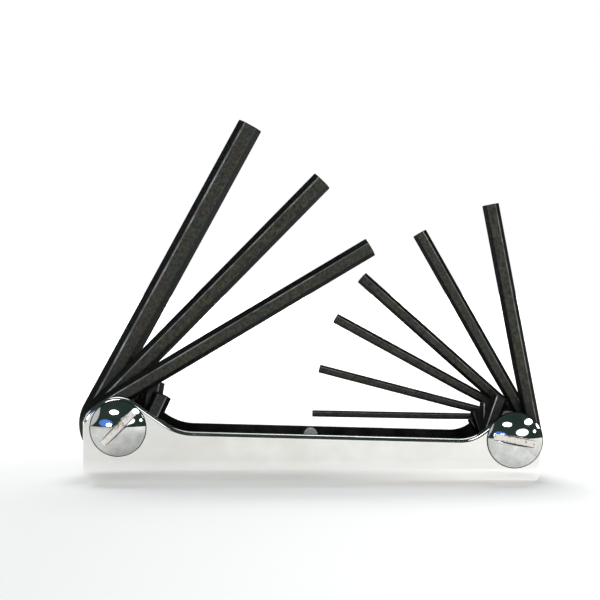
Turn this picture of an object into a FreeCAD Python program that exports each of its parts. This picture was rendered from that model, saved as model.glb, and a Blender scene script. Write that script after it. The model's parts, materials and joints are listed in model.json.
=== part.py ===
import FreeCAD, Part
import math
import os
import re

import Sketcher

# One folding hex key set. Millimetres, +Z up, +X along the handle towards the
# small keys, -Y towards the front. The origin is the middle of the underside.

DRIVING = {
    "inner_width": 20.2,
    "wall": 1.2,
    "bend_radius": 3.3,
    "end_left": -49.05,
    "end_right": 48.75,
    "rim_mid_height": 10.7,
    "rim_fall": 0.0246,
    "post_left_x": -41.6,
    "post_left_z": 12.15,
    "post_left_radius": 3.6,
    "ear_left_radius": 6.7,
    "ear_left_slope": 35.0,
    "post_right_x": 43.0,
    "post_right_z": 9.7,
    "post_right_radius": 3.4,
    "post_step_radius": 2.6,
    "ear_right_radius": 5.75,
    "ear_right_slope": 37.0,
    "foot_left_radius": 1.6,
    "foot_right_radius": 1.8,
    "shoulder_left_radius": 4.0,
    "shoulder_right_radius": 1.2,
    "valley_left_radius": 11.0,
    "valley_right_radius": 7.5,
    "running_gap": 0.05,
    "side_gap": 0.1,
    "head_radius": 6.05,
    "head_rim": 0.35,
    "dome_height": 2.15,
    "slot_width": 1.6,
    "slot_depth": 1.25,
    "slot_left_angle": 46.0,
    "slot_right_angle": -11.0,
    "rear_slot_left_angle": -20.0,
    "rear_slot_right_angle": 35.0,
    "shank_radius": 1.7,
    "shank_length": 8.0,
    "shank_chamfer": 0.4,
    "thread_gap": 0.03,
    "bore_end_gap": 0.5,
    "washer_radius": 3.6,
    "washer_thickness": 0.8,
    "wave_washer_thickness": 0.3,
    "ring_radius": 5.2,
    "stud_radius": 1.55,
    "stud_reach": 1.25,
    "stud_edge": 0.3,
    "stud_rivet_radius": 0.78,
    "stud_hole_radius": 0.8,
    "stud_x": 0.3,
    "stud_z": 8.9,
    "land_cut": 0.2,
    "tip_face_ratio": 1.08,
    "large_hook_angle": 214.0,
    "large_tail_ratio": 1.86,
    "small_hook_angle": 210.0,
    "small_tail_ratio": 1.5,
    "cut_margin": 1.0,
}

# name: across flats, length from the post's centre line, angle above the handle
LARGE_KEYS = {
    "hex_key_9_64": (3.572, 65.9, 31.0),
    "hex_key_5_32": (3.969, 68.2, 45.75),
    "hex_key_3_16": (4.7625, 70.35, 61.6),
}
SMALL_FRONT_KEYS = {
    "hex_key_1_8": (3.175, 50.35, 78.8),
    "hex_key_7_64": (2.778, 48.1, 60.05),
}
SMALL_REAR_KEYS = {
    "hex_key_3_32": (2.381, 46.65, 41.4),
    "hex_key_5_64": (1.984, 45.05, 28.4),
    "hex_key_1_16": (1.5875, 43.15, 14.45),
    "hex_key_0_050": (1.27, 42.45, 1.0),
}
THIN_KEYS = ("hex_key_1_16", "hex_key_0_050")

CELLS = dict(DRIVING)
for table in (LARGE_KEYS, SMALL_FRONT_KEYS, SMALL_REAR_KEYS):
    for label, (flats, length, angle) in table.items():
        CELLS[label + "_flats"] = flats
        CELLS[label + "_length"] = length
        CELLS[label + "_angle"] = angle

doc = FreeCAD.newDocument("hex_key_set")
sheet = doc.addObject("Spreadsheet::Sheet", "dimensions")
for row, (alias, value) in enumerate(CELLS.items(), start=1):
    sheet.set(f"A{row}", alias)
    sheet.set(f"B{row}", str(value))
    sheet.setAlias(f"B{row}", alias)
doc.recompute()

nodes = []


def size(expression):
    """The value of an expression in the sheet's aliases."""
    return float(sheet.evalExpression(expression))


def bind(thing, path, expression):
    """Binds a property to an expression in the sheet's aliases."""
    linked = re.sub(r"[a-z]\w*", lambda word: "dimensions." + word.group(), expression)
    thing.setExpression(path, linked)


def vec(x, y, z=0.0):
    return FreeCAD.Vector(x, y, z)


def new_body(label, place=("0", "0", "0")):
    """A body whose place is three expressions."""
    body = doc.addObject("PartDesign::Body", label)
    body.Label = label
    for axis, expression in zip("xyz", place):
        bind(body, ".Placement.Base." + axis, expression)
    nodes.append(body)
    return body


def new_sketch(body, plane, name, offset="0"):
    """A sketch on one of the body's own planes, moved along that plane's normal."""
    sketch = body.newObject("Sketcher::SketchObject", name)
    found = [f for f in body.Origin.OriginFeatures if f.Role == plane]
    sketch.AttachmentSupport = [(found[0], "")]
    sketch.MapMode = "FlatFace"
    bind(sketch, ".AttachmentOffset.Base.z", offset)
    sketch.Visibility = False
    return sketch


def closed_outline(sketch, points):
    """Straight lines through (x, y, radius) points, each corner rounded by its radius."""
    corners = []
    count = len(points)
    for i in range(count):
        x, y, radius = points[i]
        here = vec(x, y)
        before = vec(*points[i - 1][:2]) - here
        after = vec(*points[(i + 1) % count][:2]) - here
        before.normalize()
        after.normalize()
        if radius == 0:
            corners.append((here, None, here))
            continue
        half_angle = before.getAngle(after) / 2
        reach = radius / math.tan(half_angle)
        middle = before + after
        middle.normalize()
        centre = here + middle * (radius / math.sin(half_angle))
        corners.append((here + before * reach, centre - middle * radius, here + after * reach))
    for i in range(count):
        enter, through, leave = corners[i]
        if through is not None:
            sketch.addGeometry(Part.Arc(enter, through, leave), False)
        following = corners[(i + 1) % count][0]
        sketch.addGeometry(Part.LineSegment(leave, following), False)


def circle(sketch, x, y, radius):
    """A circle whose radius is an expression."""
    index = sketch.addGeometry(Part.Circle(vec(x, y), vec(0, 0, 1), size(radius)), False)
    constraint = sketch.addConstraint(Sketcher.Constraint("Radius", index, size(radius)))
    bind(sketch, f"Constraints[{constraint}]", radius)


def extruded(kind, body, sketch, length, both_ways, backwards):
    feature = body.newObject("PartDesign::" + kind, sketch.Name + "_" + kind.lower())
    feature.Profile = sketch
    feature.Midplane = both_ways
    feature.Reversed = backwards
    bind(feature, "Length", length)


def pad(body, sketch, length, both_ways=False, backwards=False):
    extruded("Pad", body, sketch, length, both_ways, backwards)


def pocket(body, sketch, length, both_ways=False, backwards=False):
    extruded("Pocket", body, sketch, length, both_ways, backwards)


def turned(body, points, name):
    """A solid turned about the body's Y axis from (y, radius) points.

    A third entry is a point that the outline passes through on an arc to the next one.
    """
    sketch = new_sketch(body, "YZ_Plane", name)
    count = len(points)
    for i in range(count):
        start = points[i]
        end = points[(i + 1) % count]
        if len(start) == 3:
            arc = Part.Arc(vec(*start[:2]), vec(*start[2]), vec(*end[:2]))
            sketch.addGeometry(arc, False)
        else:
            sketch.addGeometry(Part.LineSegment(vec(*start[:2]), vec(*end[:2])), False)
    feature = body.newObject("PartDesign::Revolution", name + "_turned")
    feature.Profile = sketch
    feature.ReferenceAxis = (sketch, ["H_Axis"])
    feature.Angle = 360


def ear_outline(side, name):
    """The peak of an ear, where its slope meets the rim, and where it meets the end."""
    x = size(f"post_{name}_x")
    tilt = math.radians(size(f"ear_{name}_slope"))
    grade = math.tan(tilt)
    peak = size(f"post_{name}_z") + size(f"ear_{name}_radius") / math.cos(tilt)
    rim = size("rim_mid_height")
    fall = size("rim_fall")
    inward = -side
    valley_x = x + inward * (peak - rim + fall * x) / (grade - fall * inward)
    valley = (valley_x, rim - fall * valley_x)
    end_x = size(f"end_{name}")
    shoulder = (end_x, peak - grade * abs(end_x - x))
    return (x, peak), valley, shoulder


def cut_bend(body, sign, name):
    """Rounds one bottom corner of the channel."""
    outside = sign * size("inner_width / 2 + wall")
    bend = size("bend_radius")
    margin = size("cut_margin")
    corner = new_sketch(body, "YZ_Plane", name)
    start = vec(outside, bend)
    end = vec(outside - sign * bend, 0)
    turn = bend * (1 - math.sqrt(0.5))
    corner.addGeometry(Part.Arc(start, vec(outside - sign * turn, turn), end), False)
    below = vec(end.x, -margin)
    beyond = vec(outside + sign * margin, -margin)
    above = vec(beyond.x, bend)
    for a, b in ((end, below), (below, beyond), (beyond, above), (above, start)):
        corner.addGeometry(Part.LineSegment(a, b), False)
    pocket(body, corner, "2 * (end_right - end_left)", both_ways=True)


def build_case():
    """The folded sheet handle: two eared walls joined by a rounded floor."""
    body = new_body("case")
    half = size("inner_width / 2")
    wall = size("wall")
    inner_bend = size("bend_radius - wall")
    left_peak, left_valley, left_shoulder = ear_outline(-1, "left")
    right_peak, right_valley, right_shoulder = ear_outline(1, "right")

    side = new_sketch(body, "XZ_Plane", "side_outline")
    closed_outline(side, [
        (size("end_left"), 0, size("foot_left_radius")),
        (*left_shoulder, size("shoulder_left_radius")),
        (*left_peak, size("ear_left_radius")),
        (*left_valley, size("valley_left_radius")),
        (*right_valley, size("valley_right_radius")),
        (*right_peak, size("ear_right_radius")),
        (*right_shoulder, size("shoulder_right_radius")),
        (size("end_right"), 0, size("foot_right_radius")),
    ])
    pad(body, side, "inner_width + 2 * wall", both_ways=True)

    channel = new_sketch(body, "YZ_Plane", "channel")
    above_ears = max(left_peak[1], right_peak[1]) + size("cut_margin")
    closed_outline(channel, [
        (-half, wall, inner_bend),
        (half, wall, inner_bend),
        (half, above_ears, 0),
        (-half, above_ears, 0),
    ])
    pocket(body, channel, "2 * (end_right - end_left)", both_ways=True)
    cut_bend(body, -1, "front_bend")
    cut_bend(body, 1, "rear_bend")

    left_post = (size("post_left_x"), size("post_left_z"))
    right_post = (size("post_right_x"), size("post_right_z"))
    through_wall = "inner_width / 2 + wall + cut_margin"
    front = new_sketch(body, "XZ_Plane", "front_holes")
    circle(front, *left_post, "post_left_radius + running_gap")
    circle(front, *right_post, "post_right_radius + running_gap")
    pocket(body, front, through_wall, backwards=True)

    rear = new_sketch(body, "XZ_Plane", "rear_holes")
    circle(rear, *left_post, "shank_radius + running_gap")
    circle(rear, *right_post, "shank_radius + running_gap")
    circle(rear, size("stud_x"), size("stud_z"), "stud_hole_radius")
    pocket(body, rear, through_wall)


def cut_slot(body, angle, floor, front):
    """The straight driver slot across a domed head, at an angle above the handle.

    The slot's floor is an expression for its distance from the body's middle.
    """
    reach = size("head_radius + cut_margin")
    half = size("slot_width / 2")
    sketch = new_sketch(body, "XZ_Plane", "driver_slot", floor if front else f"-({floor})")
    tilt = math.radians(size(angle))
    corners = []
    for u, v in ((-reach, -half), (reach, -half), (reach, half), (-reach, half)):
        x = u * math.cos(tilt) - v * math.sin(tilt)
        z = u * math.sin(tilt) + v * math.cos(tilt)
        corners.append((x, z, 0))
    closed_outline(sketch, corners)
    pocket(body, sketch, "slot_depth + cut_margin", backwards=front)


def dome_profile(wall_face, direction):
    """Points of a domed head standing on a wall face, from its rim to its crown."""
    radius = size("head_radius")
    height = size("dome_height")
    rim_face = wall_face + direction * size("head_rim")
    sphere = (radius ** 2 + height ** 2) / (2 * height)
    centre = rim_face + direction * (height - sphere)
    half_angle = math.asin(radius / sphere) / 2
    middle = (centre + direction * sphere * math.cos(half_angle), sphere * math.sin(half_angle))
    crown = rim_face + direction * height
    return rim_face, middle, crown


def build_barrel(name, step_at=None):
    """A slotted domed head and the post behind it that the keys turn on."""
    label = "post_" + name
    body = new_body(label, (f"post_{name}_x", "0", f"post_{name}_z"))
    half = size("inner_width / 2")
    outer = -size("inner_width / 2 + wall")
    rim_face, middle, crown = dome_profile(outer, -1)
    radius = size(label + "_radius")
    bore = size("shank_radius + thread_gap")
    bore_end = half - size("shank_length")
    points = [(crown, 0), (bore_end, 0), (bore_end, bore), (half, bore)]
    if step_at is None:
        points += [(half, radius)]
    else:
        thin = size("post_step_radius")
        points += [(half, thin), (step_at, thin), (step_at, radius)]
    points += [
        (outer, radius),
        (outer, size("head_radius")),
        (rim_face, size("head_radius"), middle),
    ]
    turned(body, points, label + "_profile")
    floor = "inner_width / 2 + wall + head_rim + dome_height - slot_depth"
    cut_slot(body, f"slot_{name}_angle", floor, True)


def build_rear_screw(name):
    """The domed screw that enters the barrel from the rear."""
    label = "rear_screw_" + name
    body = new_body(label, (f"post_{name}_x", "0", f"post_{name}_z"))
    outer = size("inner_width / 2 + wall + washer_thickness")
    rim_face, middle, crown = dome_profile(outer, 1)
    tip = size("inner_width / 2 - shank_length + bore_end_gap")
    shank = size("shank_radius")
    chamfer = size("shank_chamfer")
    points = [
        (tip, 0),
        (tip, shank - chamfer),
        (tip + chamfer, shank),
        (outer, shank),
        (outer, size("head_radius")),
        (rim_face, size("head_radius"), middle),
        (crown, 0),
    ]
    turned(body, points, label + "_profile")
    floor = "inner_width / 2 + wall + washer_thickness + head_rim + dome_height - slot_depth"
    cut_slot(body, f"rear_slot_{name}_angle", floor, False)


def build_ring(label, name, y_from, y_to, inner, outer):
    """A flat ring round a post between two depths, all four sizes being expressions."""
    body = new_body(label, (f"post_{name}_x", "0", f"post_{name}_z"))
    sketch = new_sketch(body, "XZ_Plane", label + "_ring", f"-({y_from})")
    circle(sketch, 0, 0, inner)
    circle(sketch, 0, 0, outer)
    pad(body, sketch, f"({y_to}) - ({y_from})", backwards=True)


def build_stud():
    """The round rest on the rear wall that the smallest key's tip closes onto."""
    body = new_body("rest_stud", ("stud_x", "0", "stud_z"))
    half = size("inner_width / 2")
    radius = size("stud_radius")
    edge = size("stud_edge")
    rivet = size("stud_rivet_radius")
    nose = half - size("stud_reach")
    outside = half + size("wall")
    turned(body, [
        (nose, 0),
        (nose, radius - edge),
        (nose + edge, radius),
        (half, radius),
        (half, rivet),
        (outside, rivet),
        (outside, 0),
    ], "stud_profile")


def bevel_tip(body, label, tip_x, inward, bend_radius, corners):
    """Turns a 45 degree bevel on the rod's free end."""
    face = size(f"{label}_flats / 2 * tip_face_ratio")
    run = corners / 2 + size("land_cut") - face
    low = bend_radius + face
    triangle = [
        vec(tip_x, low),
        vec(tip_x, low + run),
        vec(tip_x - inward * run, low + run),
    ]
    bevel = new_sketch(body, "XZ_Plane", label + "_bevel")
    for i in range(3):
        bevel.addGeometry(Part.LineSegment(triangle[i], triangle[(i + 1) % 3]), False)
    centre_line = Part.LineSegment(vec(0, bend_radius), vec(tip_x, bend_radius))
    bevel.addGeometry(centre_line, True)
    groove = body.newObject("PartDesign::Groove", label + "_tip_bevel")
    groove.Profile = bevel
    groove.ReferenceAxis = (bevel, ["Axis0"])
    groove.Angle = 360


def build_key(label, lane, name, post_radius, hook, side):
    """A hex rod, hooked round its post, laid at an angle above the handle.

    Drawn closed, pointing inward along the handle, then turned up about the post.
    """
    body = new_body(label, (f"post_{name}_x", lane, f"post_{name}_z"))
    body.Placement.Rotation = FreeCAD.Rotation(vec(0, side, 0), size(label + "_angle"))
    bind(body, ".Placement.Rotation.Angle", label + "_angle")
    hole = post_radius + " + running_gap"
    corners = size(label + "_flats") / math.cos(math.pi / 6)
    bend_radius = size(hole) + corners / 2 - size("land_cut")
    inward = -side
    tip_x = inward * size(label + "_length")

    def on_hook(angle):
        return vec(inward * bend_radius * math.cos(angle), bend_radius * math.sin(angle))

    top = vec(0, bend_radius)
    bend = size(hook + "_hook_angle")
    full_turn = math.radians(90 + bend)
    end = on_hook(full_turn)
    tail = bend_radius * size(hook + "_tail_ratio")
    tail_end = end + vec(-inward * math.sin(full_turn), math.cos(full_turn)) * tail
    path = new_sketch(body, "XZ_Plane", label + "_path")
    path.addGeometry(Part.LineSegment(vec(tip_x, bend_radius), top), False)
    path.addGeometry(Part.Arc(top, on_hook(math.radians(90 + bend / 2)), end), False)
    path.addGeometry(Part.LineSegment(end, tail_end), False)

    normal_offset = label + "_length" if inward > 0 else f"-{label}_length"
    section = new_sketch(body, "YZ_Plane", label + "_section", normal_offset)
    points = []
    for i in range(6):
        angle = math.radians(30 + 60 * i)
        across = corners / 2 * math.cos(angle)
        points.append((across, bend_radius + corners / 2 * math.sin(angle), 0))
    closed_outline(section, points)
    rod = body.newObject("PartDesign::AdditivePipe", label + "_rod")
    rod.Profile = section
    rod.Spine = (path, ["Edge1", "Edge2", "Edge3"])
    rod.Transition = 0

    eye = new_sketch(body, "XZ_Plane", label + "_eye")
    circle(eye, 0, 0, hole)
    pocket(body, eye, f"2 * {label}_flats", both_ways=True)
    bevel_tip(body, label, tip_x, inward, bend_radius, corners)


def stack(keys, front):
    """Expressions for each key's middle, from front to back, and for the last rear face."""
    lanes = {}
    for label in keys:
        lanes[label] = f"{front} + {label}_flats / 2"
        rear = f"{front} + {label}_flats"
        front = f"{rear} + side_gap"
    return lanes, rear


def build_keys(keys, lanes, name, hook, side):
    for label in keys:
        post_radius = "post_step_radius" if label in THIN_KEYS else f"post_{name}_radius"
        build_key(label, lanes[label], name, post_radius, hook, side)


# The large keys fill the front of their post. The small keys lie in two groups:
# the front one starts behind the foremost large key, the rear one ends at the rear wall.
front_wall = "-inner_width / 2"
rear_wall = "inner_width / 2"
large_lanes, large_rear = stack(LARGE_KEYS, f"{front_wall} + side_gap / 2")
second_lane = f"{front_wall} + side_gap / 2 + hex_key_9_64_flats + side_gap"
front_lanes, front_rear = stack(SMALL_FRONT_KEYS, second_lane)
rear_group = f"{rear_wall} - side_gap / 2"
for label in SMALL_REAR_KEYS:
    rear_group += f" - {label}_flats - side_gap"
rear_group += " + side_gap"
rear_lanes, _ = stack(SMALL_REAR_KEYS, rear_group)
step_at = size(f"{rear_lanes['hex_key_1_16']} - hex_key_1_16_flats / 2 - side_gap / 2")

build_case()
build_barrel("left")
build_barrel("right", step_at)
for name in ("left", "right"):
    build_rear_screw(name)
    build_ring("lock_washer_" + name, name,
               "inner_width / 2 + wall", "inner_width / 2 + wall + washer_thickness",
               "shank_radius + running_gap", "washer_radius")

for label, name, y_from, y_to in (
    ("wave_washer_left", "left",
     f"{large_rear} + side_gap", f"{large_rear} + side_gap + wave_washer_thickness"),
    ("spacer_left", "left",
     f"{large_rear} + side_gap + wave_washer_thickness", rear_wall),
    ("spacer_right_front", "right",
     front_wall, f"{second_lane} - side_gap"),
    ("wave_washer_right", "right",
     f"{front_rear} + side_gap", f"{front_rear} + side_gap + wave_washer_thickness"),
    ("spacer_right", "right",
     f"{front_rear} + side_gap + wave_washer_thickness", f"{rear_group} - side_gap"),
):
    bore = f"post_{name}_radius + running_gap"
    build_ring(label, name, y_from, y_to, bore, "ring_radius")
build_stud()

build_keys(LARGE_KEYS, large_lanes, "left", "large", -1)
build_keys(SMALL_FRONT_KEYS, front_lanes, "right", "small", 1)
build_keys(SMALL_REAR_KEYS, rear_lanes, "right", "small", 1)

doc.recompute()
for thing in doc.Objects:
    if "Invalid" in thing.State or "Error" in thing.State:
        raise RuntimeError(f"{thing.Label} did not compute: {thing.State}")

os.makedirs("parts", exist_ok=True)
for node in nodes:
    shape = node.Shape
    if shape.isNull() or not shape.isValid() or len(shape.Solids) != 1:
        raise RuntimeError(f"{node.Label} is not one valid solid")
    shape.exportStep(f"parts/{node.Label}.step")
    box = shape.BoundBox
    print(f"{node.Label:22s} {shape.Volume:9.1f} mm3  "
          f"x {box.XMin:7.2f} {box.XMax:7.2f}  y {box.YMin:7.2f} {box.YMax:7.2f}  "
          f"z {box.ZMin:7.2f} {box.ZMax:7.2f}")
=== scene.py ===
import json
import math

import bmesh
import bpy
from mathutils import Matrix, Vector


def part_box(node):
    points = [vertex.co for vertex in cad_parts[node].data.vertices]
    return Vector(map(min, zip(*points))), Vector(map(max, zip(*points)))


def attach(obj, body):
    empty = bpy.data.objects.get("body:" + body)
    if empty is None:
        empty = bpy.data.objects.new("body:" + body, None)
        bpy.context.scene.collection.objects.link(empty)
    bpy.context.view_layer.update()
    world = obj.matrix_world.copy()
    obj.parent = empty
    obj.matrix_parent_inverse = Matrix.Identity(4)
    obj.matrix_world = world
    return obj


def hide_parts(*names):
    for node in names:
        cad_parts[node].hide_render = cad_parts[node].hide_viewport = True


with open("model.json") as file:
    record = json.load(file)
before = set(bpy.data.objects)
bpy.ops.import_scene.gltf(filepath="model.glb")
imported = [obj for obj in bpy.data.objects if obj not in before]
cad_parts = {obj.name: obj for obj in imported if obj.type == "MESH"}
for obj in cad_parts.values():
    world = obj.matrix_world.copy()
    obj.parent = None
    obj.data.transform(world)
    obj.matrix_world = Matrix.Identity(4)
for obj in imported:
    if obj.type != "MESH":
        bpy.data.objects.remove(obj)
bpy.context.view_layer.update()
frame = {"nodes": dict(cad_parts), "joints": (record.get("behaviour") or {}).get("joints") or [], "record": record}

record = frame["record"]

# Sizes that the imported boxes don't give, in metres.
MM = 0.001
RUNNING_GAP = 0.05 * MM
POST_RADIUS = {"left": 3.6 * MM, "right": 3.4 * MM}
THIN_POST_RADIUS = 2.6 * MM
THIN_KEYS = ("hex_key_1_16", "hex_key_0_050")
LARGE_KEYS = ("hex_key_3_16", "hex_key_5_32", "hex_key_9_64")
SMALL_KEYS = ("hex_key_1_8", "hex_key_7_64", "hex_key_3_32", "hex_key_5_64") + THIN_KEYS
# The angle that a hook turns through, and its straight tail's length in bend radii.
LARGE_HOOK = (214.0, 1.86)
SMALL_HOOK = (210.0, 1.5)
HOOK_STEPS = 64
TAIL_EASE = 0.10 * MM
# The radius of the flat at a key's tip, over its hexagon's inner radius.
TIP_FACE_RATIO = 1.08
SLOT_WIDTH = 1.3 * MM
SLOT_DEPTH = 1.25 * MM
# How many times wider the slot's cutter is one depth above the crown than at the slot's floor.
SLOT_FLARE = 1.92
SLOT_ANGLE = {"left": 46.0, "right": -11.0}
REAR_SLOT_ANGLE = {"left": -20.0, "right": 35.0}
HEAD_RIM = 0.35 * MM
RIM_CHAMFER = 0.2 * MM
SHANK_RADIUS = 1.7 * MM
SHANK_CHAMFER = 0.4 * MM
SHEET = 1.2 * MM
BEND_RADIUS = 3.3 * MM
BEND_STEPS = 10
OUTER_EDGE = 0.95 * MM
INNER_EDGE = 0.14 * MM
RIM_MID_HEIGHT = 10.8 * MM
RIM_FALL = 0.0246
EAR_RADIUS = {"left": 6.7 * MM, "right": 5.75 * MM}
EAR_SLOPE = {"left": 35.0, "right": 37.0}
VALLEY_RADIUS = {"left": 11.0 * MM, "right": 7.5 * MM}
SHOULDER_RADIUS = {"left": 4.0 * MM, "right": 1.2 * MM}
FLOOR_SETBACK = {"left": 1.6 * MM, "right": 1.8 * MM}
FLOOR_CORNER_RADIUS = 1.4 * MM
STUD_HOLE_RADIUS = 0.8 * MM
# The floor's glow from left to right, as (X in metres, glow).
FLOOR_GLOW = ((-0.4, 0.05), (-0.12, 0.16), (-0.05, 0.20), (0.05, 0.43), (0.4, 0.75))


# Shader helpers

def new_material(name, base, metallic, roughness):
    """A material with its shader's own sockets set, and the shader."""
    material = bpy.data.materials.new(name)
    material.use_nodes = True
    shader = material.node_tree.nodes["Principled BSDF"]
    shader.inputs["Base Color"].default_value = (*base, 1)
    shader.inputs["Metallic"].default_value = metallic
    shader.inputs["Roughness"].default_value = roughness
    return material, shader


def noise(tree, scale, detail=4.0, roughness=0.6, stretch=(1, 1, 1), offset=(0, 0, 0)):
    """A noise value in object space, in cycles per metre."""
    place = tree.nodes.new("ShaderNodeTexCoord")
    mapping = tree.nodes.new("ShaderNodeMapping")
    mapping.inputs["Scale"].default_value = stretch
    mapping.inputs["Location"].default_value = offset
    pattern = tree.nodes.new("ShaderNodeTexNoise")
    pattern.inputs["Scale"].default_value = scale
    pattern.inputs["Detail"].default_value = detail
    pattern.inputs["Roughness"].default_value = roughness
    tree.links.new(place.outputs["Object"], mapping.inputs["Vector"])
    tree.links.new(mapping.outputs["Vector"], pattern.inputs["Vector"])
    return pattern.outputs["Fac"]


def object_axes(tree):
    """The X, Y and Z of a point in its object's own space, in metres."""
    place = tree.nodes.new("ShaderNodeTexCoord")
    axes = tree.nodes.new("ShaderNodeSeparateXYZ")
    tree.links.new(place.outputs["Object"], axes.inputs["Vector"])
    return axes.outputs


def remap(tree, value, low, high, new_low, new_high):
    """A value's range moved from low..high to a new one, and held within it."""
    node = tree.nodes.new("ShaderNodeMapRange")
    node.inputs["From Min"].default_value = low
    node.inputs["From Max"].default_value = high
    node.inputs["To Min"].default_value = new_low
    node.inputs["To Max"].default_value = new_high
    tree.links.new(value, node.inputs["Value"])
    return node.outputs["Result"]


def ramp(tree, value, *stops):
    """A colour ramp through (position, colour) stops."""
    node = tree.nodes.new("ShaderNodeValToRGB")
    elements = node.color_ramp.elements
    while len(elements) < len(stops):
        elements.new(0.5)
    for element, (position, colour) in zip(elements, stops):
        element.position = position
        element.color = (*colour, 1)
    tree.links.new(value, node.inputs["Fac"])
    return node.outputs["Color"]


def blend(tree, factor, first, second):
    """Mixes two colours, each a socket or a plain colour, by a factor socket."""
    node = tree.nodes.new("ShaderNodeMix")
    node.data_type = "RGBA"
    tree.links.new(factor, node.inputs["Factor"])
    for socket, colour in (("A", first), ("B", second)):
        if isinstance(colour, tuple):
            node.inputs[socket].default_value = (*colour, 1)
        else:
            tree.links.new(colour, node.inputs[socket])
    return node.outputs["Result"]


def product(tree, first, second):
    """Two value sockets multiplied."""
    node = tree.nodes.new("ShaderNodeMath")
    node.operation = "MULTIPLY"
    tree.links.new(first, node.inputs[0])
    tree.links.new(second, node.inputs[1])
    return node.outputs["Value"]


def bump(tree, shader, height, strength, distance):
    """Fine relief from a height socket, distance metres deep."""
    node = tree.nodes.new("ShaderNodeBump")
    node.inputs["Strength"].default_value = strength
    node.inputs["Distance"].default_value = distance
    tree.links.new(height, node.inputs["Height"])
    tree.links.new(node.outputs["Normal"], shader.inputs["Normal"])


def attribute(tree, name):
    """The value of one of the mesh's own attributes."""
    node = tree.nodes.new("ShaderNodeAttribute")
    node.attribute_name = name
    return node.outputs["Fac"]


# Materials

def nickel_material():
    """Bright nickel on rolled sheet: fine lengthwise streaks and faint warm clouding.

    The lowest few millimetres are painted brighter: a painted highlight on the bend.
    """
    material, shader = new_material("satin_nickel", (0.7, 0.69, 0.67), 1.0, 0.2)
    tree = material.node_tree
    clouds = noise(tree, 90, 3.0)
    tone = ramp(tree, clouds, (0.35, (0.74, 0.720, 0.690)), (0.65, (0.82, 0.806, 0.785)))
    # Painted highlight: the base colour turns brighter over the lowest few millimetres.
    wear_and_painted_light = remap(tree, object_axes(tree)["Z"], 0.0025, 0.0055, 1, 0)
    tree.links.new(blend(tree, wear_and_painted_light, tone, (0.97, 0.955, 0.935)), shader.inputs["Base Color"])
    streaks = noise(tree, 1600, 5.0, stretch=(0.03, 1, 1))
    tree.links.new(remap(tree, streaks, 0.3, 0.7, 0.04, 0.09), shader.inputs["Roughness"])
    bump(tree, shader, streaks, 0.05, 0.0001)
    return material


def painted_shade_material():
    """Near-black painted shade for the sheet's inner side, the slots' sides and the head rims."""
    material, shader = new_material("painted_shade_black", (0.1, 0.1, 0.1), 1.0, 0.4)
    tree = material.node_tree
    stains = noise(tree, 220, 5.0)
    # Painted shade: the base colour is near-black.
    tone = ramp(tree, stains, (0.35, (0.012, 0.012, 0.011)), (0.7, (0.032, 0.031, 0.030)))
    tree.links.new(tone, shader.inputs["Base Color"])
    tree.links.new(remap(tree, stains, 0.3, 0.7, 0.34, 0.5), shader.inputs["Roughness"])
    return material


def chrome_material():
    """Polished plate on the screw heads, with faint clouding and hairline wear."""
    material, shader = new_material("polished_screw", (0.8, 0.8, 0.79), 1.0, 0.06)
    tree = material.node_tree
    clouds = noise(tree, 500, 4.0)
    tone = ramp(tree, clouds, (0.35, (0.57, 0.57, 0.555)), (0.65, (0.70, 0.70, 0.69)))
    tree.links.new(tone, shader.inputs["Base Color"])
    tree.links.new(remap(tree, clouds, 0.3, 0.7, 0.03, 0.08), shader.inputs["Roughness"])
    bump(tree, shader, noise(tree, 350, 2.0), 0.05, 0.0001)
    return material


def slot_material():
    """The screw slot's milled walls and floor: warm bare steel with tool marks."""
    material, shader = new_material("milled_slot", (0.8, 0.74, 0.66), 1.0, 0.3)
    tree = material.node_tree
    marks = noise(tree, 900, 3.0, 0.6)
    tone = ramp(tree, marks, (0.36, (0.42, 0.34, 0.28)), (0.44, (0.84, 0.80, 0.74)))
    tree.links.new(tone, shader.inputs["Base Color"])
    tree.links.new(remap(tree, marks, 0.3, 0.7, 0.2, 0.4), shader.inputs["Roughness"])
    bump(tree, shader, marks, 0.2, 0.0001)
    return material


def washer_material():
    """Plain turned steel with a fine grain."""
    material, shader = new_material("plain_steel", (0.5, 0.5, 0.5), 1.0, 0.35)
    tree = material.node_tree
    grain = noise(tree, 900, 5.0)
    tone = ramp(tree, grain, (0.35, (0.42, 0.41, 0.40)), (0.65, (0.58, 0.57, 0.56)))
    tree.links.new(tone, shader.inputs["Base Color"])
    tree.links.new(remap(tree, grain, 0.3, 0.7, 0.25, 0.42), shader.inputs["Roughness"])
    bump(tree, shader, grain, 0.08, 0.00005)
    return material


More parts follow.
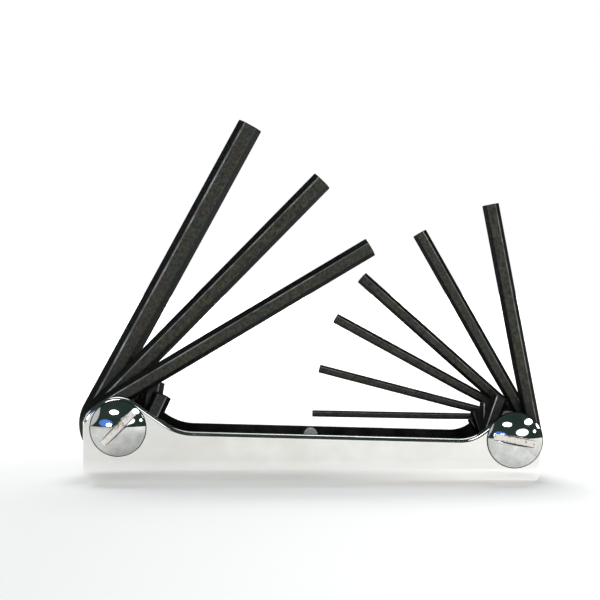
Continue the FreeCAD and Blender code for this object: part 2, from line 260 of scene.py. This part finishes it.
def black_oxide_material():
    """Oiled black oxide on drawn rod.

    The front and rear flats are a mottled olive and brown and shine a little. The other
    faces are painted near-black and less shiny: painted shade. The outer corners are rubbed
    bright in places, and near the posts the colour is darkened: painted shade.
    """
    material, shader = new_material("black_oxide", (0.03, 0.03, 0.025), 0.0, 0.36)
    tree = material.node_tree
    wear_and_painted_light = attribute(tree, "flat")
    value = noise(tree, 1300, 5.0, 0.7)
    hue = noise(tree, 620, 3.0, 0.6, offset=(3.1, 1.7, 0.4))
    olive = ramp(tree, value, (0.38, (0.008, 0.010, 0.005)), (0.62, (0.052, 0.056, 0.028)))
    brown = ramp(tree, value, (0.38, (0.012, 0.009, 0.007)), (0.62, (0.054, 0.041, 0.030)))
    cool = ramp(tree, value, (0.38, (0.008, 0.011, 0.010)), (0.62, (0.038, 0.047, 0.042)))
    mottle = blend(tree, remap(tree, hue, 0.40, 0.50, 0, 1), brown, olive)
    mottle = blend(tree, remap(tree, hue, 0.54, 0.62, 0, 1), mottle, cool)
    # Painted shade: the faces other than the flats get a near-black colour instead of the mottle.
    black = ramp(tree, value, (0.38, (0.004, 0.004, 0.005)), (0.62, (0.016, 0.016, 0.018)))
    mottle = blend(tree, wear_and_painted_light, black, mottle)
    # Painted shade: near the posts, where the hooks sit between the walls, the colour is darkened.
    painted_hub_shade = product(tree, attribute(tree, "hub"), remap(tree, value, 0.4, 0.7, 0.95, 0.55))
    mottle = blend(tree, painted_hub_shade, mottle, (0.006, 0.006, 0.006))
    patches = remap(tree, noise(tree, 160, 4.0, 0.7, offset=(0.2, 5.0, 2.0)), 0.42, 0.62, 0.25, 1.0)
    wear = product(tree, attribute(tree, "corner"), patches)
    worn = blend(tree, wear, mottle, (0.36, 0.355, 0.34))
    tree.links.new(worn, shader.inputs["Base Color"])
    tree.links.new(wear, shader.inputs["Metallic"])
    # The faces other than the flats also get a low specular level, part of the same painted shade.
    tree.links.new(remap(tree, wear_and_painted_light, 0, 1, 0.05, 0.3), shader.inputs["Specular IOR Level"])
    tree.links.new(remap(tree, value, 0.3, 0.7, 0.28, 0.44), shader.inputs["Roughness"])
    bump(tree, shader, noise(tree, 2600, 4.0), 0.10, 0.00005)
    return material


def stud_material():
    """The stud's dull grey plating."""
    material, shader = new_material("dull_stud", (0.6, 0.58, 0.62), 0.0, 0.5)
    tree = material.node_tree
    clouds = noise(tree, 900, 4.0)
    tone = ramp(tree, clouds, (0.35, (0.52, 0.50, 0.56)), (0.65, (0.74, 0.72, 0.78)))
    tree.links.new(tone, shader.inputs["Base Color"])
    tree.links.new(remap(tree, clouds, 0.3, 0.7, 0.35, 0.6), shader.inputs["Roughness"])
    return material


def floor_material():
    """A pale matt sheet, kept pale by a soft glow that grows to the right and to the back.

    Close in front of the handle the glow is low and even: a painted shadow there.
    """
    material, shader = new_material("pale_floor", (0.88, 0.88, 0.875), 0.0, 0.7)
    tree = material.node_tree
    clouds = noise(tree, 3, 2.0)
    tone = ramp(tree, clouds, (0.3, (0.87, 0.87, 0.865)), (0.7, (0.89, 0.89, 0.885)))
    tree.links.new(tone, shader.inputs["Base Color"])
    shader.inputs["Specular IOR Level"].default_value = 0.0
    axes = object_axes(tree)
    levels = [(0.5 + x, (level, level, level * 0.99)) for x, level in FLOOR_GLOW]
    across = ramp(tree, remap(tree, axes["X"], -0.5, 0.5, 0, 1), *levels)
    # Painted shadow: close in front of the handle the glow drops to a low, even level.
    towards_handle = remap(tree, axes["Y"], -0.056, -0.011, 0, 1)
    beside_handle = remap(tree, axes["X"], 0.050, 0.064, 1, 0)
    near = blend(tree, product(tree, towards_handle, beside_handle), across, (0.2, 0.2, 0.2))
    behind = remap(tree, axes["Y"], 0.02, 0.25, 0, 1)
    glow = blend(tree, behind, near, (0.75, 0.75, 0.745))
    tree.links.new(glow, shader.inputs["Emission Color"])
    shader.inputs["Emission Strength"].default_value = 1.0
    return material


NICKEL = nickel_material()
PAINTED_SHADE = painted_shade_material()
CHROME = chrome_material()
MILLED = slot_material()
STEEL = washer_material()
OXIDE = black_oxide_material()
DULL = stud_material()


# Mesh helpers

def link_mesh(name, mesh):
    """An object in the scene for a finished mesh."""
    piece = bpy.data.objects.new(name, mesh)
    bpy.context.scene.collection.objects.link(piece)
    return piece


def mesh_piece(name, vertices, faces):
    """An object from raw points and faces, with its faces turned outward."""
    mesh = bpy.data.meshes.new(name)
    mesh.from_pydata(vertices, [], faces)
    work = bmesh.new()
    work.from_mesh(mesh)
    bmesh.ops.recalc_face_normals(work, faces=work.faces)
    work.to_mesh(mesh)
    work.free()
    return link_mesh(name, mesh)


def subtract(piece, tool):
    """Cuts one solid mesh out of another and removes the tool."""
    boolean = piece.modifiers.new("cut", "BOOLEAN")
    boolean.operation = "DIFFERENCE"
    boolean.solver = "EXACT"
    boolean.object = tool
    depsgraph = bpy.context.evaluated_depsgraph_get()
    cut = bpy.data.meshes.new_from_object(piece.evaluated_get(depsgraph))
    piece.modifiers.clear()
    piece.data = cut
    bpy.data.objects.remove(tool)


def add_bevel(piece, width):
    """Rounds a piece's sharp edges."""
    bevel = piece.modifiers.new("edge", "BEVEL")
    bevel.width = width
    bevel.segments = 3
    bevel.limit_method = "ANGLE"
    bevel.angle_limit = math.radians(35)


def finish_piece(piece, materials, body, node):
    """Smooth shading weighted to the large faces, and the piece's place in the frame."""
    for polygon in piece.data.polygons:
        polygon.use_smooth = True
    normals = piece.modifiers.new("weighted", "WEIGHTED_NORMAL")
    normals.keep_sharp = True
    for material in materials:
        piece.data.materials.append(material)
    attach(piece, body)
    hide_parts(node)


def cleaned_copy(name, node):
    """A CAD node's own shape as a fresh mesh, its flat faces whole."""
    mesh = frame["nodes"][node].data.copy()
    mesh.name = name
    mesh.materials.clear()
    work = bmesh.new()
    work.from_mesh(mesh)
    bmesh.ops.remove_doubles(work, verts=work.verts, dist=2e-6)
    flat = math.radians(0.4)
    bmesh.ops.dissolve_limit(work, angle_limit=flat, verts=work.verts, edges=work.edges)
    work.to_mesh(mesh)
    work.free()
    return link_mesh(name, mesh)


def rounded_outline(corners):
    """(point, inward normal) samples of a closed outline of (x, s, radius) corners.

    The corners run anticlockwise, and each is rounded by its radius.
    """
    samples = []
    count = len(corners)
    for i in range(count):
        here = Vector(corners[i][:2])
        before = (Vector(corners[i - 1][:2]) - here).normalized()
        after = (Vector(corners[(i + 1) % count][:2]) - here).normalized()
        half_angle = before.angle(after) / 2
        reach = corners[i][2] / math.tan(half_angle)
        centre = here + (before + after).normalized() * (corners[i][2] / math.sin(half_angle))
        start = here + before * reach - centre
        turn = math.pi - 2 * half_angle
        convex = before.cross(after) < 0
        steps = max(4, math.ceil(math.degrees(turn) / 5))
        for k in range(steps + 1):
            angle = turn * k / steps * (1 if convex else -1)
            spoke = Matrix.Rotation(angle, 2) @ start
            inward = -spoke.normalized() if convex else spoke.normalized()
            samples.append((centre + spoke, inward))
    return samples


def ear_corners(side, wall_start):
    """The shoulder, peak and valley of one ear on the flat sheet, from its end inward."""
    joint = joint_of("hex_key_3_16" if side == "left" else "hex_key_1_8")
    x, _, z = joint["pos_m"]
    inward = 1 if side == "left" else -1
    low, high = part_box("case")
    end_x = low.x if side == "left" else high.x
    tilt = math.radians(EAR_SLOPE[side])
    grade = math.tan(tilt)
    peak = z + EAR_RADIUS[side] / math.cos(tilt)
    valley_x = x + inward * (peak - RIM_MID_HEIGHT + RIM_FALL * x) / (grade - RIM_FALL * inward)
    valley = RIM_MID_HEIGHT - RIM_FALL * valley_x
    shoulder = peak - grade * abs(end_x - x)
    return [
        (end_x, wall_start + shoulder, SHOULDER_RADIUS[side]),
        (x, wall_start + peak, EAR_RADIUS[side]),
        (valley_x, wall_start + valley, VALLEY_RADIUS[side]),
    ]


def flat_sheet():
    """The outline of the handle's sheet before folding, as (x, s, radius) corners.

    s is the distance along the sheet's outer side from the floor's centre line,
    positive towards the front wall.
    """
    low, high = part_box("case")
    half_floor = high.y - BEND_RADIUS
    bend_end = half_floor + BEND_RADIUS * math.pi / 2
    wall_start = bend_end - BEND_RADIUS
    left = ear_corners("left", wall_start)
    right = ear_corners("right", wall_start)
    feet = []
    for x, inset in ((low.x, FLOOR_SETBACK["left"]), (high.x, -FLOOR_SETBACK["right"])):
        feet.append([
            (x, half_floor + 0.75 * BEND_RADIUS, FLOOR_CORNER_RADIUS),
            (x + inset, half_floor + 0.05 * BEND_RADIUS, FLOOR_CORNER_RADIUS),
        ])
    front = feet[1][::-1] + right + left[::-1] + feet[0]
    rear = [(x, -s, radius) for x, s, radius in reversed(front)]
    return front + rear, half_floor, bend_end


def folded(x, s, depth, half_floor, bend_end):
    """Where a point of the flat sheet lies once the walls are bent up."""
    side = -1 if s > 0 else 1
    along = abs(s)
    radius = BEND_RADIUS - depth
    if along <= half_floor:
        y, z = along, depth
    elif along >= bend_end:
        y, z = half_floor + radius, BEND_RADIUS + along - bend_end
    else:
        turn = (along - half_floor) / BEND_RADIUS
        y, z = half_floor + radius * math.sin(turn), BEND_RADIUS - radius * math.cos(turn)
    return Vector((x, side * y, z))


def edge_rings():
    """(inset, depth) steps over the sheet's edge, from its outer face to its inner one."""
    rings = []
    steps = 8
    for i in range(steps + 1):
        angle = math.pi / 2 * i / steps
        rings.append((OUTER_EDGE * (1 - math.sin(angle)), OUTER_EDGE * (1 - math.cos(angle))))
    for angle in (0, math.pi / 4, math.pi / 2):
        inset = INNER_EDGE * (1 - math.cos(angle))
        rings.append((inset, SHEET - INNER_EDGE * (1 - math.sin(angle))))
    return rings


def sheet_shell(outline):
    """A closed sheet with rounded edges, lying flat with its outer side down."""
    work = bmesh.new()
    rows = []
    for inset, depth in edge_rings():
        points = [point + inward * inset for point, inward in outline]
        rows.append([work.verts.new((p.x, p.y, depth)) for p in points])
    work.faces.new(rows[0])
    work.faces.new(rows[-1])
    count = len(outline)
    for first, second in zip(rows, rows[1:]):
        for i in range(count):
            j = (i + 1) % count
            work.faces.new((first[i], first[j], second[j], second[i]))
    return work


def cut_bends(work, half_floor, bend_end):
    """Cuts the sheet's faces lengthwise, so that each bend turns in small steps."""
    for side in (-1, 1):
        for i in range(BEND_STEPS + 1):
            cut = Vector((0, side * (half_floor + (bend_end - half_floor) * i / BEND_STEPS), 0))
            parts = work.verts[:] + work.edges[:] + work.faces[:]
            bmesh.ops.bisect_plane(work, geom=parts, plane_co=cut, plane_no=(0, 1, 0), dist=1e-7)


def build_case():
    """The folded handle: a sheet with rounded edges, made flat and then bent up."""
    corners, half_floor, bend_end = flat_sheet()
    work = sheet_shell(rounded_outline(corners))
    cut_bends(work, half_floor, bend_end)
    for face in work.faces:
        # The inner faces take the second material, near-black painted shade.
        inner = all(v.co.z > SHEET - 0.9 * INNER_EDGE for v in face.verts)
        face.material_index = 1 if inner else 0
    for vertex in work.verts:
        vertex.co = folded(*vertex.co, half_floor, bend_end)
    bmesh.ops.recalc_face_normals(work, faces=work.faces)
    mesh = bpy.data.meshes.new("case_sheet")
    work.to_mesh(mesh)
    work.free()
    piece = link_mesh("case_sheet", mesh)
    drill_case(piece)
    finish_piece(piece, (NICKEL, PAINTED_SHADE), "handle", "case")


def drill_case(piece):
    """The post holes in the front wall, the screw holes and the stud's hole in the rear one."""
    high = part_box("case")[1]
    near = high.y - 2 * SHEET
    far = high.y + SHEET
    shank = SHANK_RADIUS + RUNNING_GAP
    for side in ("left", "right"):
        x, z, _ = node_axis("post_" + side)
        drill(piece, x, z, -far, -near, POST_RADIUS[side] + RUNNING_GAP)
        drill(piece, x, z, near, far, shank)
    x, z, _ = node_axis("rest_stud")
    drill(piece, x, z, near, far, STUD_HOLE_RADIUS)


def drill(piece, x, z, y_from, y_to, radius):
    """A round hole along Y."""
    profile = [(y_from, 0), (y_from, radius), (y_to, radius), (y_to, 0)]
    subtract(piece, turned("drill", profile, x, z, 48))


def build_rounded(name, node, material, width):
    """A small turned part: the CAD shape with its sharp edges eased."""
    piece = cleaned_copy(name, node)
    add_bevel(piece, width)
    finish_piece(piece, (material,), "handle", node)


def turned(name, profile, centre_x, centre_z, segments=128):
    """A solid turned about a line along Y, from (y, radius) points that start and end on it."""
    vertices = []
    faces = []
    rows = []
    for y, radius in profile:
        start = len(vertices)
        if radius == 0:
            rows.append([start] * segments)
            vertices.append((centre_x, y, centre_z))
            continue
        rows.append(list(range(start, start + segments)))
        for i in range(segments):
            angle = 2 * math.pi * i / segments
            x = centre_x + radius * math.cos(angle)
            z = centre_z + radius * math.sin(angle)
            vertices.append((x, y, z))
    for first, second in zip(rows, rows[1:]):
        for i in range(segments):
            j = (i + 1) % segments
            ring = [first[i], first[j], second[j], second[i]]
            faces.append(tuple(dict.fromkeys(ring)))
    return mesh_piece(name, vertices, faces)


def dome_points(rim_y, crown_y, radius, rings=24):
    """(y, radius) points over a domed head, from its rim to its crown."""
    height = abs(crown_y - rim_y)
    outward = math.copysign(1, crown_y - rim_y)
    sphere = (radius ** 2 + height ** 2) / (2 * height)
    half_angle = math.asin(radius / sphere)
    points = []
    for i in range(rings):
        angle = half_angle * (1 - i / rings)
        y = crown_y - outward * sphere * (1 - math.cos(angle))
        points.append((y, sphere * math.sin(angle)))
    points.append((crown_y, 0))
    return points


def cut_slot(piece, centre_x, centre_z, crown_y, angle, radius):
    """Cuts the straight driver slot across a head, wider at its mouth than at its floor."""
    mesh = bpy.data.meshes.new("slot_tool")
    work = bmesh.new()
    bmesh.ops.create_cube(work, size=1.0)
    bmesh.ops.scale(work, vec=(radius * 2.4, SLOT_DEPTH * 2, SLOT_WIDTH), verts=work.verts)
    inward = 1 if crown_y < 0 else -1
    for vertex in work.verts:
        if vertex.co.y * inward < 0:
            vertex.co.z *= SLOT_FLARE
    turn = Matrix.Rotation(-math.radians(angle), 4, "Y")
    place = Matrix.Translation((centre_x, crown_y, centre_z)) @ turn
    bmesh.ops.transform(work, matrix=place, verts=work.verts)
    work.to_mesh(mesh)
    work.free()
    subtract(piece, link_mesh("slot_tool", mesh))
    mark_slot(piece, place.inverted(), radius)


def mark_slot(piece, to_slot, radius):
    """Gives the slot's floor the second material, and its sides and the head's rim the third, near-black painted
    shade.
    """
    for polygon in piece.data.polygons:
        corners = [to_slot @ piece.data.vertices[i].co for i in polygon.vertices]
        facing = to_slot.to_3x3() @ polygon.normal
        wide = max(abs(p.z) for p in corners)
        deep = max(abs(p.y) for p in corners)
        on_floor = deep < SLOT_DEPTH * 1.001 and wide < SLOT_WIDTH * 0.501 and abs(facing.y) > 0.99
        on_side = wide < SLOT_WIDTH * 0.8 and abs(facing.z) > 0.7
        on_rim = min(p.xz.length for p in corners) > radius - RIM_CHAMFER * 1.01
        if on_floor:
            polygon.material_index = 1
        elif on_side or on_rim:
            polygon.material_index = 2


# Screws

def node_axis(node):
    """A turned node's centre line and radius, from its box."""
    low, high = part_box(node)
    return (low.x + high.x) / 2, (low.z + high.z) / 2, (high.x - low.x) / 2


def build_post(side, step=None):
    """The slotted domed head and its post, which is thinner from the step on, if there is one."""
    node = "post_" + side
    low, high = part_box(node)
    x, z, head_radius = node_axis(node)
    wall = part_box("case")[0].y
    profile = [(high.y, 0)]
    if step is not None:
        profile += [(high.y, THIN_POST_RADIUS), (step, THIN_POST_RADIUS), (step, POST_RADIUS[side])]
    else:
        profile += [(high.y, POST_RADIUS[side])]
    profile += [(wall, POST_RADIUS[side]), (wall, head_radius)]
    profile += [(wall - HEAD_RIM + RIM_CHAMFER, head_radius)]
    profile += dome_points(wall - HEAD_RIM, low.y, head_radius - RIM_CHAMFER)
    piece = turned(node + "_turned", profile, x, z)
    cut_slot(piece, x, z, low.y, SLOT_ANGLE[side], head_radius)
    add_bevel(piece, 0.08 * MM)
    finish_piece(piece, (CHROME, MILLED, PAINTED_SHADE), "handle", node)


def build_rear_screw(side):
    """The domed screw that enters the post from the rear."""
    node = "rear_screw_" + side
    low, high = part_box(node)
    x, z, head_radius = node_axis(node)
    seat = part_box("lock_washer_" + side)[1].y
    profile = [(low.y, 0), (low.y, SHANK_RADIUS - SHANK_CHAMFER)]
    profile += [(low.y + SHANK_CHAMFER, SHANK_RADIUS)]
    profile += [(seat, SHANK_RADIUS), (seat, head_radius)]
    profile += [(seat + HEAD_RIM - RIM_CHAMFER, head_radius)]
    profile += dome_points(seat + HEAD_RIM, high.y, head_radius - RIM_CHAMFER)
    piece = turned(node + "_turned", profile, x, z)
    cut_slot(piece, x, z, high.y, REAR_SLOT_ANGLE[side], head_radius)
    add_bevel(piece, 0.08 * MM)
    finish_piece(piece, (CHROME, MILLED, PAINTED_SHADE), "handle", node)


# Keys

def joint_of(body):
    """The hinge that a key turns on."""
    return next(joint for joint in frame["joints"] if joint["child"] == body)


def tip_of(key):
    """The record's mount at a key's tip."""
    name = "tip_" + key.removeprefix("hex_key_")
    return next(mount for mount in record["mounts"] if mount["name"] == name)


def hex_section(flats, per_corner=4):
    """(lateral, depth, rubbed) points round a hexagon with flats at front and rear.

    The four corners beside the flats are rounder than the two at the sides. The two of
    them on the outer side of the hook rub on the handle and on the other keys.
    """
    points = []
    for i in range(6):
        corner_radius = flats * (0.035 if i % 3 == 0 else 0.11)
        reach = flats / math.sqrt(3) - corner_radius / math.cos(math.radians(30))
        middle = math.radians(60 * i)
        for k in range(per_corner):
            angle = middle + math.radians(60) * (k / (per_corner - 1) - 0.5)
            lateral = reach * math.cos(middle) + corner_radius * math.cos(angle)
            depth = reach * math.sin(middle) + corner_radius * math.sin(angle)
            points.append((lateral, depth, 0 < k < per_corner - 1 and i in (1, 5)))
    return points


def key_stations(bend_radius, length, hook, flats):
    """Rings along a key: (centre, outward, limit on the section's reach, near the post).

    In the key's own plane the rod points along +u, bend_radius above the post.
    """
    bend, tail_ratio = hook
    reach = flats / math.sqrt(3)
    face = flats / 2 * TIP_FACE_RATIO
    up = Vector((0, 1))
    stations = []
    for back in (0, (reach - face) / 2, reach - face):
        stations.append((Vector((length - back, bend_radius)), up, face + back, False))
    stations.append((Vector((length * 0.3, bend_radius)), up, reach, False))
    for i in range(HOOK_STEPS + 1):
        angle = math.radians(90 + bend * i / HOOK_STEPS)
        outward = Vector((math.cos(angle), math.sin(angle)))
        stations.append((outward * bend_radius, outward, reach, True))
    along = Vector((-outward.y, outward.x))
    end = outward * bend_radius
    tail = bend_radius * tail_ratio
    stations.append((end + along * (tail - TAIL_EASE), outward, reach, True))
    stations.append((end + along * tail, outward, reach - TAIL_EASE, True))
    return stations


def on_flat(face, count):
    """Whether a face lies on the rod's front or rear flat or on the roundings beside it."""
    corner, part = divmod(face[0] % count, count // 6)
    return len(face) == 4 and corner in (1, 2, 4, 5) and (part, corner % 3) != (count // 6 - 1, 2)


def rod_faces(rings, count):
    """Quads between neighbouring rings of points, and one face over each end."""
    faces = []
    for ring in range(rings - 1):
        for i in range(count):
            a = ring * count + i
            b = ring * count + (i + 1) % count
            faces.append((a, b, b + count, a + count))
    last = (rings - 1) * count
    faces.append(tuple(range(count)))
    faces.append(tuple(range(last, last + count)))
    return faces


def add_attribute(piece, name, domain, values):
    layer = piece.data.attributes.new(name, "FLOAT", domain)
    layer.data.foreach_set("value", values)


def eye_radius(key):
    """How near a key's hook may come to the middle of its post."""
    post = POST_RADIUS["left" if key in LARGE_KEYS else "right"]
    return RUNNING_GAP + (THIN_POST_RADIUS if key in THIN_KEYS else post)


def build_key(key):
    """One hex key: a straight rod hooked round its post, bevelled at its tip."""
    low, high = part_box(key)
    flats = high.y - low.y
    pivot = Vector(joint_of(key)["pos_m"])
    tip = tip_of(key)
    along = Vector(tip["axis"])
    to_tip = Vector(tip["pos_m"]) - pivot
    length = to_tip.dot(along)
    outboard = to_tip - along * length
    bend_radius = outboard.length
    outboard.normalize()
    hook = LARGE_HOOK if key in LARGE_KEYS else SMALL_HOOK
    eye = eye_radius(key)
    section = hex_section(flats)
    stations = key_stations(bend_radius, length, hook, flats)
    vertices = []
    corners = []
    hub = []
    for centre, outward, limit, near_post in stations:
        for lateral, depth, wear_and_painted_light in section:
            shrink = min(1.0, limit / math.hypot(lateral, depth))
            point = centre + outward * (lateral * shrink)
            if near_post and point.length < eye:
                point = point.normalized() * eye
            place = pivot + along * point.x + outboard * point.y
            vertices.append((place.x, place.y + depth * shrink, place.z))
            corners.append(float(wear_and_painted_light))
            hub.append(float(near_post))
    faces = rod_faces(len(stations), len(section))
    piece = mesh_piece(key + "_rod", vertices, faces)
    add_attribute(piece, "corner", "POINT", corners)
    add_attribute(piece, "hub", "POINT", hub)
    add_attribute(piece, "flat", "FACE", [float(on_flat(face, len(section))) for face in faces])
    finish_piece(piece, (OXIDE,), key, key)


build_case()
build_rounded("rest_stud_round", "rest_stud", DULL, 0.2 * MM)
for side in ("left", "right"):
    build_rounded("lock_ring_" + side, "lock_washer_" + side, STEEL, 0.1 * MM)
    build_rounded("wave_ring_" + side, "wave_washer_" + side, STEEL, 0.05 * MM)
    build_rounded("sleeve_" + side, "spacer_" + side, STEEL, 0.15 * MM)
    build_rear_screw(side)
build_rounded("sleeve_right_front", "spacer_right_front", STEEL, 0.15 * MM)
build_post("left")
build_post("right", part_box("hex_key_1_16")[0].y - RUNNING_GAP)
for key in LARGE_KEYS + SMALL_KEYS:
    build_key(key)


# Floor, light and camera

def build_floor():
    """A plain floor, far larger than the view."""
    reach = 12.0
    corners = [(-reach, -reach, 0), (reach, -reach, 0), (reach, reach, 0), (-reach, reach, 0)]
    floor = mesh_piece("floor", corners, [(0, 1, 2, 3)])
    floor.data.materials.append(floor_material())


def direction(azimuth, elevation):
    """Azimuth 0 is straight in front of the handle, positive to the right."""
    side = math.radians(azimuth)
    rise = math.radians(elevation)
    level = Vector((math.sin(side), -math.cos(side), 0))
    return level * math.cos(rise) + Vector((0, 0, math.sin(rise)))


def aimed(name, data, azimuth, elevation, distance):
    """A lamp that shines on the middle of the handle."""
    lamp = bpy.data.objects.new(name, data)
    bpy.context.scene.collection.objects.link(lamp)
    away = direction(azimuth, elevation)
    lamp.location = away * distance + Vector((0, 0, 0.012))
    lamp.rotation_euler = away.to_track_quat("Z", "Y").to_euler()
    return lamp


def softbox(name, azimuth, elevation, width, height, radiance, colour=(1, 1, 1), seen="both"):
    """An oval light 1.3 m away whose width and height are angles in degrees.

    It is seen in reflections ("mirror"), as even light ("matt"), or both.
    """
    distance = 1.3
    data = bpy.data.lights.new(name, "AREA")
    data.shape = "ELLIPSE"
    data.size = 2 * distance * math.tan(math.radians(width / 2))
    data.size_y = 2 * distance * math.tan(math.radians(height / 2))
    area = math.pi * data.size * data.size_y / 4
    data.energy = radiance * math.pi * area
    data.color = colour
    lamp = aimed(name, data, azimuth, elevation, distance)
    lamp.visible_camera = False
    lamp.visible_glossy = seen != "matt"
    lamp.visible_diffuse = seen != "mirror"


def sky_light(name, azimuth, elevation, angle, strength):
    """Even light from a large far source."""
    data = bpy.data.lights.new(name, "SUN")
    data.angle = math.radians(angle)
    data.energy = strength
    aimed(name, data, azimuth, elevation, 2.0).visible_glossy = False


def bounce_card():
    """A white card on the floor before the right half, brighter to the right.

    It is seen only in the polished metal.
    """
    data = bpy.data.lights.new("bounce_card", "AREA")
    data.shape = "RECTANGLE"
    data.size = 0.055
    data.size_y = 0.0282
    data.energy = math.pi * data.size * data.size_y
    data.use_nodes = True
    tree = data.node_tree
    place = tree.nodes.new("ShaderNodeNewGeometry")
    axes = tree.nodes.new("ShaderNodeSeparateXYZ")
    tree.links.new(place.outputs["Position"], axes.inputs["Vector"])
    strength = remap(tree, axes.outputs["X"], 0.0, 0.035, 0.0, 0.25)
    tree.links.new(strength, tree.nodes["Emission"].inputs["Strength"])
    lamp = bpy.data.objects.new("bounce_card", data)
    lamp.location = (0.0275, -0.0244, 0.0001)
    lamp.rotation_euler = (math.pi, 0, 0)
    lamp.visible_camera = False
    lamp.visible_diffuse = False
    bpy.context.scene.collection.objects.link(lamp)


def build_world():
    """A dim greenish room, seen in reflections, and plain white where nothing else is seen."""
    world = bpy.data.worlds.new("studio")
    bpy.context.scene.world = world
    world.use_nodes = True
    tree = world.node_tree
    seen = tree.nodes.new("ShaderNodeLightPath")
    colour = blend(tree, seen.outputs["Is Camera Ray"], (0.032, 0.052, 0.045), (1.0, 1.0, 1.0))
    tree.links.new(colour, tree.nodes["Background"].inputs["Color"])


def build_lights():
    """Large lights for the matt surfaces, and small ones that only the polished metal mirrors."""
    sky_light("sky", 180, 66, 80, 0.9)
    softbox("overhead", 180, 76, 46, 30, 2.0)
    softbox("backdrop", -166, 15, 130, 28, 4.5, seen="matt")
    softbox("fill", 0, 20, 50, 30, 2.2, seen="matt")
    softbox("key_left", -17, 40, 24, 13, 5.0, seen="mirror")
    softbox("key_right", 58, 39, 24, 14, 5.0, seen="mirror")
    softbox("window", -36, 10, 38, 18, 1.0, (0.10, 0.28, 1.0), seen="mirror")
    softbox("window_core", -27, 6, 14, 8, 24.0, seen="mirror")
    softbox("side_patch", 27, 17, 34, 18, 3.0, (0.88, 0.95, 1.0), seen="mirror")
    softbox("side_spot", 64, 15, 8, 6, 8.0, seen="mirror")
    softbox("right_panel", 84, 23, 14, 12, 5.0, seen="mirror")
    softbox("left_panel", -86, 22, 46, 44, 0.7, seen="mirror")
    bounce_card()


def build_camera():
    """A long lens a little above the keys, turned slightly right and down."""
    data = bpy.data.cameras.new("camera")
    data.sensor_width = 36.0
    data.lens = 128.88
    data.clip_end = 50
    camera = bpy.data.objects.new("camera", data)
    bpy.context.scene.collection.objects.link(camera)
    camera.location = (-0.02203, -0.46673, 0.05384)
    heading = Matrix.Rotation(math.radians(-2.380), 3, "Z")
    tilt = Matrix.Rotation(math.radians(90 - 1.802), 3, "X")
    roll = Matrix.Rotation(math.radians(0.279), 3, "Z")
    camera.rotation_euler = (heading @ tilt @ roll).to_euler()
    bpy.context.scene.camera = camera


build_floor()
build_world()
build_lights()
build_camera()
bpy.context.scene.view_settings.view_transform = "Standard"
